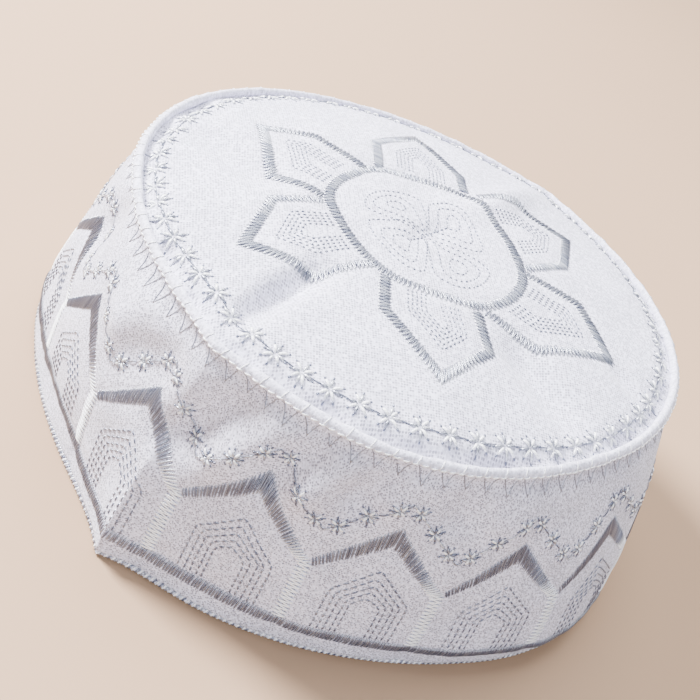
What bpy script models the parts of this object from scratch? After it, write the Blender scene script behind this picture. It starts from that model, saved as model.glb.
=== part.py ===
"""A round cloth kufi standing on its rim: crown panel, side band, rolled crown seam and bound hem.

Metres, +Z up. The origin is on the floor under the middle of the cap. The sharp fold that the cap
was packed flat along meets the band at -Y (front) and +Y (back). A turn is an angle around +Z,
0 at the front fold and growing towards +X.
"""

import math
from collections import namedtuple

import bmesh
import bpy
import numpy as np

# Driving sizes
RIM_RADIUS = 0.0915
SEAM_HEIGHT = 0.0640
CROWN_RADIUS = 0.0800
CROWN_RISE = 0.0088
HEM_WIDTH = 0.0096
BAND_CLOTH = 0.0012
CROWN_CLOTH = 0.0012
PIPING_THICKNESS = 0.0022
BINDING_HEIGHT = 0.0016
BINDING_WIDTH = 0.0020
FOLD_DEPTH = 0.0020
FOLD_WIDTH = 0.0060
CLEARANCE = 0.0003

# Shape laws
DOME_POWER = 2.8
BAND_BULGE_AT = 0.45
CREASE_SPREAD = math.radians(6.0)
CREASE_BUNCHING = 0.62
TURN_STEPS = 84
BAND_STEPS = 12
CROWN_STEPS = 10
BINDING_SIDES = 8
BINDING_EDGE = math.radians(50)

# How the plan departs from a circle, turn by turn. Rim, hem and bulge are shares of RIM_RADIUS, seam
# is a share of CROWN_RADIUS, and drop is how far the seam hangs, as a share of CROWN_RISE.
Section = namedtuple("Section", "turn rim hem bulge seam drop")
SECTIONS = (
    Section(-180, 1.000, 1.000, 0.970, 1.000, 0.20),
    Section(-140, 1.000, 1.000, 0.972, 1.000, 0.26),
    Section(-110, 1.008, 1.008, 0.974, 1.000, 0.15),
    Section(-85, 1.020, 1.022, 0.976, 1.000, 0.03),
    Section(-60, 1.021, 1.026, 0.967, 0.991, 0.00),
    Section(-45, 0.987, 0.984, 0.948, 0.975, 0.00),
    Section(-30, 0.968, 0.960, 0.956, 0.972, 0.00),
    Section(-15, 0.969, 0.963, 0.956, 0.976, 0.00),
    Section(0, 0.986, 0.978, 0.961, 0.995, 0.00),
    Section(15, 0.997, 0.982, 0.962, 1.013, 0.00),
    Section(30, 0.980, 0.988, 0.953, 1.024, 0.00),
    Section(45, 0.966, 0.977, 0.952, 1.013, 0.00),
    Section(60, 0.971, 0.998, 0.962, 0.989, 0.00),
    Section(75, 1.000, 1.032, 0.978, 0.976, 0.00),
    Section(90, 1.022, 1.034, 0.979, 0.985, 0.00),
    Section(115, 1.006, 0.998, 0.980, 1.002, 0.00),
    Section(145, 1.000, 0.998, 0.976, 1.006, 0.10),
)

# The sharp ridge that folding flat leaves, as shares of RIM_RADIUS, the seam's of CROWN_RADIUS
Crease = namedtuple("Crease", "turn rim hem bulge seam")
CREASES = (
    Crease(0, 0.080, 0.084, 0.028, 0.030),
    Crease(180, 0.060, 0.060, 0.028, 0.026),
)

# Soft folds of the cloth, each along the line from a to b. A height is a share of SEAM_HEIGHT, a reach
# a share of CROWN_RADIUS, depth a share of FOLD_DEPTH (minus is a ridge) and width of FOLD_WIDTH.
BandFold = namedtuple("BandFold", "turn_a height_a turn_b height_b depth width")
BAND_FOLDS = (
    BandFold(-42, 0.98, -47, 0.62, 0.8, 1.3),
    BandFold(-15, 0.98, -20, 0.68, -0.7, 1.7),
    BandFold(-4, 0.82, -17, 0.70, 0.5, 1.1),
    BandFold(10, 0.97, 0, 0.55, 0.9, 1.0),
    BandFold(18, 0.97, 8, 0.62, -0.5, 0.9),
    BandFold(24, 0.97, 17, 0.66, 0.7, 0.8),
    BandFold(29, 0.97, 22, 0.66, -0.8, 1.0),
    BandFold(35, 0.97, 30, 0.72, 0.6, 0.9),
    BandFold(40, 0.97, 35, 0.76, -0.4, 0.9),
    BandFold(49, 0.97, 48, 0.74, 0.4, 0.9),
    BandFold(62, 0.96, 56, 0.74, -0.4, 1.3),
    BandFold(-100, 0.94, -104, 0.50, 0.7, 1.6),
    BandFold(-128, 0.96, -120, 0.58, -0.6, 1.6),
    BandFold(108, 0.95, 112, 0.56, 0.6, 1.5),
    BandFold(136, 0.96, 130, 0.60, -0.6, 1.6),
    BandFold(166, 0.97, 172, 0.60, 0.6, 1.3),
    BandFold(-160, 0.97, -168, 0.60, 0.5, 1.3),
)
CrownFold = namedtuple("CrownFold", "turn_a reach_a turn_b reach_b depth width")
CROWN_FOLDS = (
    CrownFold(-2, 0.97, -5, 0.50, 1.2, 0.7),
    CrownFold(3, 0.13, 170, 0.12, 0.3, 0.6),
    CrownFold(-72, 0.90, -52, 0.54, 0.8, 1.3),
    CrownFold(70, 0.52, 74, 0.90, 0.8, 1.1),
    CrownFold(101, 0.76, 98, 0.92, 0.4, 0.5),
    CrownFold(178, 0.30, 180, 0.90, -0.6, 0.9),
)


def wrapped(angle):
    """The angle brought to within half a turn of zero."""
    return (angle + math.pi) % (2 * math.pi) - math.pi


def around(column, turn):
    """A column of SECTIONS at this turn, on a smooth closed curve through its rows."""
    knots = np.radians([row.turn for row in SECTIONS] + [SECTIONS[0].turn + 360])
    values = np.array([getattr(row, column) for row in SECTIONS + SECTIONS[:1]])
    before = np.concatenate([[knots[-2] - 2 * math.pi], knots[:-1]])
    after = np.concatenate([knots[1:], [knots[1] + 2 * math.pi]])
    value_before = np.concatenate([[values[-2]], values[:-1]])
    value_after = np.concatenate([values[1:], [values[1]]])
    slopes = (value_after - value_before) / (after - before)
    angle = wrapped(turn)
    i = min(int(np.searchsorted(knots, angle, side="right")) - 1, len(knots) - 2)
    span = knots[i + 1] - knots[i]
    t = (angle - knots[i]) / span
    start = (1 + 2 * t) * (1 - t) ** 2 * values[i] + t * (1 - t) ** 2 * span * slopes[i]
    end = t * t * (3 - 2 * t) * values[i + 1] - t * t * (1 - t) * span * slopes[i + 1]
    return start + end


def ridge(column, turn):
    """What the two fold creases add to that column at this turn."""
    total = 0.0
    for row in CREASES:
        away = abs(wrapped(turn - math.radians(row.turn)))
        total += getattr(row, column) * math.exp(-away / CREASE_SPREAD)
    return total


def radius(column, turn):
    whole = CROWN_RADIUS if column == "seam" else RIM_RADIUS
    return whole * (around(column, turn) + ridge(column, turn))


def seam_height(turn):
    return SEAM_HEIGHT - CROWN_RISE * around("drop", turn)


def fold_press(x, y, a, b, depth, width):
    """How deep one soft fold presses the cloth at a point, its ends fading out over half its length."""
    along = (b[0] - a[0], b[1] - a[1])
    length = math.hypot(*along)
    share = ((x - a[0]) * along[0] + (y - a[1]) * along[1]) / length**2
    aside = ((x - a[0]) * along[1] - (y - a[1]) * along[0]) / length
    fade = math.exp(-((2 * share - 1) ** 4))
    return depth * FOLD_DEPTH * fade * math.exp(-((aside / (width * FOLD_WIDTH)) ** 2))


def band_press(turn, height):
    """How far the band's cloth is pressed in. Distances are taken on the band unrolled flat."""
    total = 0.0
    for row in BAND_FOLDS:
        middle = math.radians((row.turn_a + row.turn_b) / 2)
        x = RIM_RADIUS * wrapped(turn - middle)
        a = (RIM_RADIUS * (math.radians(row.turn_a) - middle), row.height_a * SEAM_HEIGHT)
        b = (RIM_RADIUS * (math.radians(row.turn_b) - middle), row.height_b * SEAM_HEIGHT)
        total += fold_press(x, height * SEAM_HEIGHT, a, b, row.depth, row.width)
    return total


def on_plan(turn, reach):
    """A point on the plan, from its turn and its distance from the middle."""
    return reach * math.sin(turn), -reach * math.cos(turn)


def band_point(turn, height):
    """Radius and height of the band's outer face. Height runs from 0 at the rim to 1 at the seam."""
    rim, hem, bulge, seam = (radius(name, turn) for name in ("rim", "hem", "bulge", "seam"))
    tuck = max(-0.9, min(0.9, (hem - rim) / HEM_WIDTH))
    hem_height = HEM_WIDTH * math.sqrt(1 - tuck**2)
    hem_share = HEM_WIDTH / SEAM_HEIGHT
    if height < hem_share:
        share = height / hem_share
        return rim + (hem - rim) * share, hem_height * share
    t = (height - hem_share) / (1 - hem_share)
    m = BAND_BULGE_AT
    reach = hem * (1 - t) * (m - t) / m
    reach += bulge * t * (1 - t) / (m * (1 - m))
    reach += seam * t * (t - m) / (1 - m)
    reach -= band_press(turn, height) * math.sin(math.pi * t) ** 0.5
    return reach, hem_height + (seam_height(turn) - hem_height) * t


def crown_height(turn, share):
    """Height of the crown's outer face at a share of the way from its middle to the seam."""
    x, y = on_plan(turn, share * CROWN_RADIUS)
    rise = CROWN_RISE * (1 - share**DOME_POWER)
    edge = (seam_height(turn) - SEAM_HEIGHT) * share**4
    pressed = 0.0
    for row in CROWN_FOLDS:
        a = on_plan(math.radians(row.turn_a), row.reach_a * CROWN_RADIUS)
        b = on_plan(math.radians(row.turn_b), row.reach_b * CROWN_RADIUS)
        pressed += fold_press(x, y, a, b, row.depth, row.width)
    return SEAM_HEIGHT + rise + edge - pressed * (1 - share**6)


def bunched(turn):
    """Moves evenly spaced turns closer together at the two creases."""
    return turn - CREASE_BUNCHING / 2 * math.sin(2 * turn)


def turned(bm):
    """Spins what the mesh holds once around Z and joins the ends."""
    bmesh.ops.spin(
        bm,
        geom=bm.verts[:] + bm.edges[:],
        cent=(0, 0, 0),
        axis=(0, 0, 1),
        angle=2 * math.pi,
        steps=TURN_STEPS,
        use_merge=True,
    )
    bmesh.ops.remove_doubles(bm, verts=bm.verts, dist=1e-6)


def line_of_points(bm, points, closed=False):
    verts = [bm.verts.new(point) for point in points]
    pairs = list(zip(verts, verts[1:]))
    if closed:
        pairs.append((verts[-1], verts[0]))
    for first, second in pairs:
        bm.edges.new((first, second))


def turn_of(point):
    return bunched(math.atan2(point.x, -point.y))


def finished(name, bm, finish, collection):
    """The named object made from the mesh, smooth-shaded, with its finish."""
    mesh = bpy.data.meshes.new(name)
    bm.to_mesh(mesh)
    bm.free()
    mesh.shade_smooth()
    mesh.materials.append(finish)
    obj = bpy.data.objects.new(name, mesh)
    collection.objects.link(obj)
    return obj


def give_wall(obj, thickness):
    wall = obj.modifiers.new("Cloth", "SOLIDIFY")
    wall.thickness = thickness
    wall.offset = -1
    wall.use_even_offset = True


def cloth_finish(name, colour, roughness):
    finish = bpy.data.materials.new(name)
    finish.use_nodes = True
    shader = finish.node_tree.nodes["Principled BSDF"]
    shader.inputs["Base Color"].default_value = (*colour, 1)
    shader.inputs["Roughness"].default_value = roughness
    shader.inputs["Metallic"].default_value = 0
    return finish


def open_sheet(name, bm, finish, collection):
    """The named cloth, its faces turned up and outwards and its wall laid on the inside."""
    bmesh.ops.recalc_face_normals(bm, faces=bm.faces)
    side = sum(face.normal.dot(face.calc_center_median()) for face in bm.faces)
    if side < 0:
        bmesh.ops.reverse_faces(bm, faces=bm.faces)
    return finished(name, bm, finish, collection)


def side_band(collection, finish):
    """The band, from just above the hem binding to just under the piping."""
    lowest = (BINDING_HEIGHT + CLEARANCE) / SEAM_HEIGHT
    highest = 1 - (PIPING_THICKNESS / 2 + CLEARANCE) / SEAM_HEIGHT
    bm = bmesh.new()
    steps = np.linspace(lowest, highest, BAND_STEPS + 1)
    line_of_points(bm, [(0, -1, height) for height in steps])
    turned(bm)
    for vert in bm.verts:
        turn = turn_of(vert.co)
        reach, height = band_point(turn, vert.co.z)
        vert.co = (*on_plan(turn, reach), height)
    obj = open_sheet("side_band", bm, finish, collection)
    give_wall(obj, BAND_CLOTH)
    return obj


def crown_panel(collection, finish):
    """The domed top panel, stopping just inside the piping."""
    bm = bmesh.new()
    steps = np.linspace(0, 1, CROWN_STEPS + 1)
    line_of_points(bm, [(0, -share, 0) for share in steps])
    turned(bm)
    edge_gap = PIPING_THICKNESS / 2 + CLEARANCE
    for vert in bm.verts:
        reached = math.hypot(vert.co.x, vert.co.y)
        turn = turn_of(vert.co)
        seam = radius("seam", turn)
        reach = reached * (seam - edge_gap)
        vert.co = (*on_plan(turn, reach), crown_height(turn, reach / seam))
    obj = open_sheet("crown_panel", bm, finish, collection)
    give_wall(obj, CROWN_CLOTH)
    return obj


def crown_piping(collection, finish):
    """The rolled seam, a round cord of cloth all the way around the crown."""
    curve = bpy.data.curves.new("crown_piping", "CURVE")
    curve.dimensions = "3D"
    curve.bevel_depth = PIPING_THICKNESS / 2
    curve.bevel_resolution = 1
    curve.use_fill_caps = True
    spline = curve.splines.new("POLY")
    spline.points.add(TURN_STEPS - 1)
    spline.use_cyclic_u = True
    for i, point in enumerate(spline.points):
        turn = bunched(2 * math.pi * i / TURN_STEPS)
        point.co = (*on_plan(turn, radius("seam", turn)), seam_height(turn), 1)
    curve.materials.append(finish)
    obj = bpy.data.objects.new("crown_piping", curve)
    collection.objects.link(obj)
    return obj


def hem_binding(collection, finish):
    """The bound bottom edge: a rounded bar bent around the rim, flat underneath where the cap stands."""
    bm = bmesh.new()
    outline = []
    for side in range(BINDING_SIDES):
        angle = 2 * math.pi * (side + 0.5) / BINDING_SIDES
        flat = 1 / math.cos(math.pi / BINDING_SIDES)
        out = BINDING_WIDTH / 2 * flat * math.cos(angle)
        up = BINDING_HEIGHT / 2 * (1 + flat * math.sin(angle))
        outline.append((0, -1 - out, up))
    line_of_points(bm, outline, closed=True)
    turned(bm)
    for vert in bm.verts:
        out = math.hypot(vert.co.x, vert.co.y) - 1
        turn = turn_of(vert.co)
        reach = radius("rim", turn) - BINDING_WIDTH / 2 + out
        vert.co = (*on_plan(turn, reach), vert.co.z)
    bmesh.ops.recalc_face_normals(bm, faces=bm.faces)
    obj = finished("hem_binding", bm, finish, collection)
    obj.data.set_sharp_from_angle(angle=BINDING_EDGE)
    return obj


def clear_scene():
    for obj in list(bpy.data.objects):
        bpy.data.objects.remove(obj, do_unlink=True)


def main():
    clear_scene()
    collection = bpy.data.collections.new("kufi")
    bpy.context.scene.collection.children.link(collection)
    cotton = cloth_finish("white_cotton", (0.80, 0.79, 0.84), 0.85)
    piped = cloth_finish("piping_cotton", (0.84, 0.83, 0.87), 0.80)
    bound = cloth_finish("hem_thread", (0.42, 0.43, 0.48), 0.55)
    crown_panel(collection, cotton)
    side_band(collection, cotton)
    crown_piping(collection, piped)
    hem_binding(collection, bound)


main()
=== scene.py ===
"""Dresses the kufi: its white cotton with soft folds and pin-dot weave, the rolled crown seam, the
bound hem, and every stitch of its silver-grey machine embroidery as real thread.

Metres, +Z up, in the frame's own coordinates. A turn is an angle around +Z, 0 at the front crease (-Y)
and growing towards +X. The band's cloth is charted flat: x runs along the rim and height up the cloth.
The crown's cloth is charted on its plan.
"""

import math
from collections import namedtuple

import bmesh
import bpy
import numpy as np
from bpy.props import FloatProperty, FloatVectorProperty, IntProperty, PointerProperty
from mathutils import Matrix, Vector, noise


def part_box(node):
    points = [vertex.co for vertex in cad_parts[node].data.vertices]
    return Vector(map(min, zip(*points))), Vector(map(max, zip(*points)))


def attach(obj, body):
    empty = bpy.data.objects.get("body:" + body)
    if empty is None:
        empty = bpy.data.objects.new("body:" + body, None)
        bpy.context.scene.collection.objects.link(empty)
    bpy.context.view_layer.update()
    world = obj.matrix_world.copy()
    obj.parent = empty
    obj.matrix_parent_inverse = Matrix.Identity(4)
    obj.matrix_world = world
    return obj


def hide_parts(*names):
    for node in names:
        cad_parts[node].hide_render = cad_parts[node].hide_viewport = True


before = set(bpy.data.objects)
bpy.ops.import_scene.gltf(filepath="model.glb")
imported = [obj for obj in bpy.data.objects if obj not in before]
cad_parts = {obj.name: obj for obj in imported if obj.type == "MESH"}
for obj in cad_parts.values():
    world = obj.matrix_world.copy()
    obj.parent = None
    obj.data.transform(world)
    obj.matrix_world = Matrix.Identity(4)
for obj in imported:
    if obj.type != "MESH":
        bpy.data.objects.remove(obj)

bl_info = {
    "name": "Embroidered Kufi",
    "version": (1, 0, 0),
    "blender": (4, 5, 0),
    "location": "View3D > Sidebar > Kufi",
    "description": "Cloth, seams and thread of an embroidered kufi cap",
    "category": "Add Mesh",
}

# The solids' own sizes
PIPING_THICKNESS = 0.0022
BINDING_HEIGHT = 0.0016
BINDING_WIDTH = 0.0020
CLOTH_WALL = 0.0012
RIM_RADIUS = 0.0915
CROWN_RADIUS = 0.0800
HEM_WIDTH = 0.0096
FOLD_DEPTH = 0.0020
FOLD_WIDTH = 0.0060
FOOT_ANGLE = math.radians(74)
SEAM_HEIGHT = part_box("crown_piping")[1][2] - PIPING_THICKNESS / 2
CROWN_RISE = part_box("crown_panel")[1][2] - SEAM_HEIGHT
RIM_LENGTH = 2 * math.pi * RIM_RADIUS
# How far the cloths' edges reach into the piping, and how the bound hem swells beyond its solid
EDGE_TUCK = PIPING_THICKNESS / 4
BINDING_SWELL = 0.0002
BINDING_ROUNDNESS = 0.90

# Their shape laws
DOME_POWER = 2.8
BAND_BULGE_AT = 0.45
CREASE_SPREAD = math.radians(6.0)
CREASE_BUNCHING = 0.30

# Plan shares at each turn, as the solids have them
Section = namedtuple("Section", "turn rim hem bulge seam drop")
SECTIONS = tuple(map(Section._make, (
    (-180, 1.000, 1.000, 0.970, 1.000, 0.20),
    (-140, 1.000, 1.000, 0.972, 1.000, 0.26),
    (-110, 1.008, 1.008, 0.974, 1.000, 0.15),
    (-85, 1.020, 1.022, 0.976, 1.000, 0.03),
    (-60, 1.021, 1.026, 0.967, 0.991, 0.00),
    (-45, 0.987, 0.984, 0.948, 0.975, 0.00),
    (-30, 0.968, 0.960, 0.956, 0.972, 0.00),
    (-15, 0.969, 0.963, 0.956, 0.976, 0.00),
    (0, 0.986, 0.978, 0.961, 0.995, 0.00),
    (15, 0.997, 0.982, 0.962, 1.013, 0.00),
    (30, 0.980, 0.988, 0.953, 1.024, 0.00),
    (45, 0.966, 0.977, 0.952, 1.013, 0.00),
    (60, 0.971, 0.998, 0.962, 0.989, 0.00),
    (75, 1.000, 1.032, 0.978, 0.976, 0.00),
    (90, 1.022, 1.034, 0.979, 0.985, 0.00),
    (115, 1.006, 0.998, 0.980, 1.002, 0.00),
    (145, 1.000, 0.998, 0.976, 1.006, 0.10),
)))
Crease = namedtuple("Crease", "turn rim hem bulge seam")
CREASES = tuple(map(Crease._make, (
    (0, 0.080, 0.084, 0.028, 0.030),
    (180, 0.060, 0.060, 0.028, 0.026),
)))

# Soft folds, each along the line from a to b. A height is a share of SEAM_HEIGHT, a reach a share of
# CROWN_RADIUS, depth a share of FOLD_DEPTH (minus is a ridge) and width of FOLD_WIDTH.
BandFold = namedtuple("BandFold", "turn_a height_a turn_b height_b depth width")
BAND_FOLDS = tuple(map(BandFold._make, (
    (-42, 0.98, -47, 0.62, 0.8, 1.3),
    (-15, 0.98, -20, 0.68, -0.7, 1.7),
    (-4, 0.82, -17, 0.70, 0.5, 1.1),
    (10, 0.97, 0, 0.55, 0.9, 1.0),
    (18, 0.97, 8, 0.62, -0.5, 0.9),
    (24, 0.97, 17, 0.66, 0.7, 0.8),
    (29, 0.97, 22, 0.66, -0.8, 1.0),
    (35, 0.97, 30, 0.72, 0.6, 0.9),
    (40, 0.97, 35, 0.76, -0.4, 0.9),
    (49, 0.97, 48, 0.74, 0.4, 0.9),
    (62, 0.96, 56, 0.74, -0.4, 1.3),
    (-100, 0.94, -104, 0.50, 0.7, 1.6),
    (-128, 0.96, -120, 0.58, -0.6, 1.6),
    (108, 0.95, 112, 0.56, 0.6, 1.5),
    (136, 0.96, 130, 0.60, -0.6, 1.6),
    (166, 0.97, 172, 0.60, 0.6, 1.3),
    (-160, 0.97, -168, 0.60, 0.5, 1.3),
)))
CrownFold = namedtuple("CrownFold", "turn_a reach_a turn_b reach_b depth width")
CROWN_FOLDS = tuple(map(CrownFold._make, (
    (-2, 0.97, -5, 0.50, 1.2, 0.7),
    (3, 0.13, 170, 0.12, 0.3, 0.6),
    (-72, 0.90, -52, 0.54, 0.8, 1.3),
    (70, 0.52, 74, 0.90, 0.8, 1.1),
    (101, 0.76, 98, 0.92, 0.4, 0.5),
    (178, 0.30, 180, 0.90, -0.6, 0.9),
)))

# The band's motif, repeated all the way round: a house between two white posts. Across is measured from
# the middle of the house along the rim, height up the cloth from the floor.
FIRST_HOUSE_TURN = math.radians(-5.335)
POST_WIDTH = 0.0042
POST_TOP = 0.0280
POST_PITCH = 0.00112
POST_RISE = 0.0004
ROOF_LEAN = 0.0005
# The two edges of the roof's satin, from valley over the peak to valley, as (share of half a motif, height)
ROOF_INNER = ((-0.868, 0.0274), (0.005, 0.0393), (0.851, 0.0274))
ROOF_OUTER = ((-0.968, 0.0299), (-0.017, 0.0464), (1.052, 0.0283))
HouseLine = namedtuple("HouseLine", "half_width left_eave right_eave apex")
HOUSE_LINES = tuple(map(HouseLine._make, (
    (0.0105, 0.0234, 0.0229, 0.0325),
    (0.0087, 0.0229, 0.0223, 0.0299),
    (0.0072, 0.0219, 0.0219, 0.0276),
    (0.0054, 0.0215, 0.0215, 0.0255),
    (0.0040, 0.0207, 0.0207, 0.0233),
)))
HOUSE_ASIDE = 0.0009
BORDER_TALL = 0.0036
BORDER_LEAN = 0.0006
# Height of the border's middle on the cloth, as (degrees, metres)
BORDER_HEIGHTS = (
    (-180, 0.0086), (-60, 0.0086), (-38, 0.0092), (-28, 0.0114), (-22, 0.0107), (-15, 0.0080), (-8, 0.0072),
    (0, 0.0080), (5, 0.0070), (16, 0.0075), (30, 0.0080), (55, 0.0082), (70, 0.0090), (90, 0.0086),
)
STAR_LINE_LOW = 0.0384
STAR_LINE_HIGH = 0.0531
STARS_ON_SLOPE = (0.17, 0.50, 0.84)
STAR_LEGS = 8
LINK_STITCH = 0.0022
LINK_GAP = 0.0002

# The crown's flower. A turn is in degrees and a reach a share of CROWN_RADIUS.
Spot = namedtuple("Spot", "turn reach")
MEDALLION = tuple(map(Spot._make, (
    (-180, 0.350), (-165, 0.350), (-148, 0.332), (-130, 0.326), (-110, 0.354),
    (-90, 0.344), (-56, 0.358), (-36, 0.338), (-19, 0.333), (16, 0.352),
    (35, 0.347), (53, 0.362), (72, 0.378), (88, 0.374), (116, 0.360),
    (138, 0.336), (164, 0.334),
)))
PETALS = tuple(tuple(map(Spot._make, petal)) for petal in (
    ((3.7, 0.355), (-4.5, 0.545), (-21.5, 0.709), (-42.0, 0.552), (-48.4, 0.376)),
    ((61.6, 0.405), (58.7, 0.574), (40.8, 0.718), (20.8, 0.526), (13.0, 0.365)),
    ((120.7, 0.368), (118.2, 0.579), (102.4, 0.741), (80.4, 0.576), (66.9, 0.401)),
    ((-174.8, 0.389), (175.7, 0.552), (157.5, 0.679), (139.5, 0.555), (125.0, 0.368)),
    ((-111.6, 0.353), (-122.7, 0.551), (-141.4, 0.715), (-160.0, 0.506), (-166.1, 0.381)),
    ((-52.7, 0.385), (-60.6, 0.558), (-83.9, 0.719), (-96.1, 0.584), (-103.2, 0.353)),
))
# How far inside a petal's outline its running lines are sewn
PETAL_LINE_INSETS = (0.0060, 0.0072, 0.0084, 0.0096, 0.0108)
RING_CLEARANCE = 0.0030
SATIN_WIDTH = 0.0040
SATIN_LEAN = 0.03
MEDALLION_REACH = 0.35
# The satin's closeness, as shares of the thread's pitch
CROWN_PITCH = 0.85
ROOF_PITCH = 0.60
BORDER_PITCH = 0.55
# The medallion's four nested lobes and the stem between them, in millimetres on the plan
LOBE_LINES = (
    ((0.4, -1.6), (-2.0, -3.4), (-6.8, -6.7), (-12.9, -10.6), (-15.6, -10.9), (-18.3, -5.8), (-18.4, 0.0),
     (-16.1, 5.6), (-12.8, 8.8), (-10.2, 10.0), (-1.7, 2.2), (0.4, -1.0)),
    ((-0.6, -0.6), (-3.5, -1.8), (-6.4, -3.0), (-11.5, -6.9), (-14.4, -7.9), (-16.1, -5.7), (-16.3, -0.6),
     (-14.7, 3.7), (-11.5, 4.9), (-8.3, 3.9), (-4.6, 1.6), (-0.7, 0.0)),
    ((-9.7, 1.4), (-11.4, 2.0), (-12.6, 1.5), (-13.8, -1.7), (-13.2, -3.5), (-11.7, -3.5), (-10.0, -1.9),
     (-8.5, -0.7), (-9.5, 1.2)),
    ((1.6, -2.2), (5.4, -7.7), (11.9, -14.6), (15.2, -15.4), (19.2, -13.6), (21.9, -10.0), (22.5, -5.2),
     (21.6, 0.1), (19.8, 3.6), (14.5, 3.6), (9.0, 0.8), (6.3, -0.9), (1.8, -1.6)),
    ((3.6, -2.4), (7.5, -5.3), (13.4, -12.2), (17.2, -11.9), (19.8, -9.1), (20.1, -3.4), (18.9, 0.3),
     (14.8, 0.8), (10.6, -1.4), (7.9, -3.1), (3.8, -2.4)),
    ((11.4, -5.1), (13.2, -8.5), (15.8, -8.9), (17.6, -7.0), (17.0, -4.0), (15.4, -2.3), (12.2, -3.2),
     (11.5, -4.8)),
    ((0.6, 0.6), (-1.6, 2.6), (-3.6, 5.3), (-6.1, 8.4), (-7.9, 10.9), (-7.2, 13.6), (-6.2, 17.4),
     (-3.1, 19.8), (0.3, 19.4), (3.2, 17.4), (5.2, 16.5), (7.5, 14.4), (9.4, 13.3), (12.4, 10.6),
     (13.5, 9.1), (13.4, 7.3), (8.3, 3.1), (2.4, 0.9), (0.8, 0.6)),
    ((0.4, 3.6), (-1.3, 7.3), (-3.3, 9.7), (-5.2, 11.6), (-4.4, 15.1), (-1.5, 17.5), (0.8, 17.0), (4.9, 14.6),
     (7.3, 12.2), (9.9, 8.9), (9.4, 7.8), (6.9, 6.3), (1.3, 4.6), (0.6, 3.6)),
    ((1.4, 8.6), (-0.7, 10.8), (-2.2, 13.6), (0.0, 15.0), (3.1, 12.5), (4.4, 9.6), (1.8, 8.6)),
    ((0.8, -3.0), (-2.6, -2.4), (-5.2, -3.9), (-6.5, -5.8), (-7.9, -9.6), (-10.9, -14.5), (-9.9, -16.0),
     (-5.4, -18.7), (1.1, -20.0), (5.1, -20.8), (8.5, -20.2), (11.6, -17.6), (9.4, -14.2), (7.3, -11.1),
     (3.9, -5.6), (1.2, -3.0)),
    ((0.0, -5.5), (-2.4, -7.1), (-5.3, -11.9), (-6.6, -14.1), (-5.1, -16.3), (-1.9, -17.5), (3.4, -18.7),
     (8.1, -17.6), (5.6, -13.1), (2.9, -8.9), (0.8, -5.5)),
    ((0.3, -9.2), (-1.9, -10.7), (-3.2, -13.6), (-1.1, -15.9), (4.0, -15.8), (2.9, -13.6), (0.5, -9.4)),
)
LOBE_STEM = ((0.3, -9.2), (0.3, -6.5), (0.9, -3.6), (0.8, -1.0), (0.6, 1.2), (0.8, 4.9), (1.4, 8.6))
FIRST_STAR_TURN = math.radians(1.85)
STAR_RING = tuple(map(Spot._make, (
    (-180, 0.930), (-120, 0.925), (-60, 0.930), (-12, 0.893), (8, 0.920),
    (60, 0.913), (100, 0.929), (140, 0.950),
)))

# The piping's girth, as angles around it with 0 outwards: its foot on the band, its sharp ridge and the
# places of its stitches. The row runs along its foot, the zigzag from the band over its top.
PIPING_FOOT = math.radians(-70)
PIPING_RIDGE = math.radians(105)
ROW_ANGLE = math.radians(-14)
ZIGZAG_TOP_ANGLE = math.radians(104)
ZIGZAG_BELOW_SEAM = 0.0056
ZIGZAG_COUNT = 92
# Where the zigzag's corners lie beside its tip, in its own pitch
ZIGZAG_STRAIGHT = -0.48
ZIGZAG_WAIST = 0.38
ZIGZAG_CREST = 0.56
ROW_STITCH = 0.0021
ROW_GAP = 0.0004
ROW_RISE = 0.0003

# The cloth's relief: where it dips below the seam, and the trough inside the piping as plan shares
SEAM_DIP_BELOW = 0.0032
SEAM_DIP_WIDTH = 0.0016
HEM_DIP_WIDTH = 0.0022
PULL_WIDTH = 0.0022
ROOF_PULL_WIDTH = 0.0024
TROUGH_SHARE = 0.966
TROUGH_WIDTH = 0.027

# How each kind of stitch lies. Width is a share of a satin thread's 0.54 mm, arch how high its middle stands,
# taper the share of its width left at its ends and sink how deep they go in. Flatness is its height
# over its width, tips the painted highlight that whitens its ends, and stray how far its holes miss their
# places.
Lay = namedtuple("Lay", "width arch taper sink flatness tips stray", defaults=(0.5, 0.00015, 0.75, 0.0, 0.0))
CROWN_SATIN = Lay(1.0, 0.00040, tips=0.6, stray=0.00012)
ROOF_SATIN = Lay(0.98, 0.00032, flatness=0.6, tips=0.45, stray=0.00014)
POST_SATIN = Lay(0.92, 0.00042, stray=0.00010)
BORDER_SATIN = Lay(1.0, 0.00050, sink=-0.00010, tips=0.45, stray=0.00014)
CROWN_LINE = Lay(0.46 / 0.54, 0.00014, taper=0.6, tips=0.5, stray=0.00006)
STEM_LINE = Lay(0.50 / 0.54, 0.00014, taper=0.6)
HOUSE_LINE = Lay(0.48 / 0.54, 0.00016, taper=0.75, tips=0.3, stray=0.00006)
CROWN_LEG = Lay(0.86 / 0.54, 0.00034, taper=0.12)
BAND_LEG = Lay(0.70 / 0.54, 0.00034, taper=0.12)
# A grey stub painted at each star leg's tip as the needle hole's shade
STAR_HOLE_SHADE = Lay(1.0, 0.00005, taper=0.8, sink=0.0)
CROWN_LINK = Lay(0.30 / 0.54, 0.00020, taper=0.8, sink=-0.00005)
BAND_LINK = Lay(0.42 / 0.54, 0.00036, taper=0.8, sink=-0.00010)
SEAM_ROW = Lay(0.52 / 0.54, 0.00026, taper=0.4)
ZIGZAG = Lay(0.28 / 0.54, 0.00012, taper=0.8, sink=0.0, stray=0.00015)
ZIGZAG_OVER = Lay(0.30 / 0.54, 0.00012, taper=0.8, sink=0.0)
OVERCAST = Lay(1.0, 0.00012, taper=0.7, sink=-0.00006)
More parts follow.
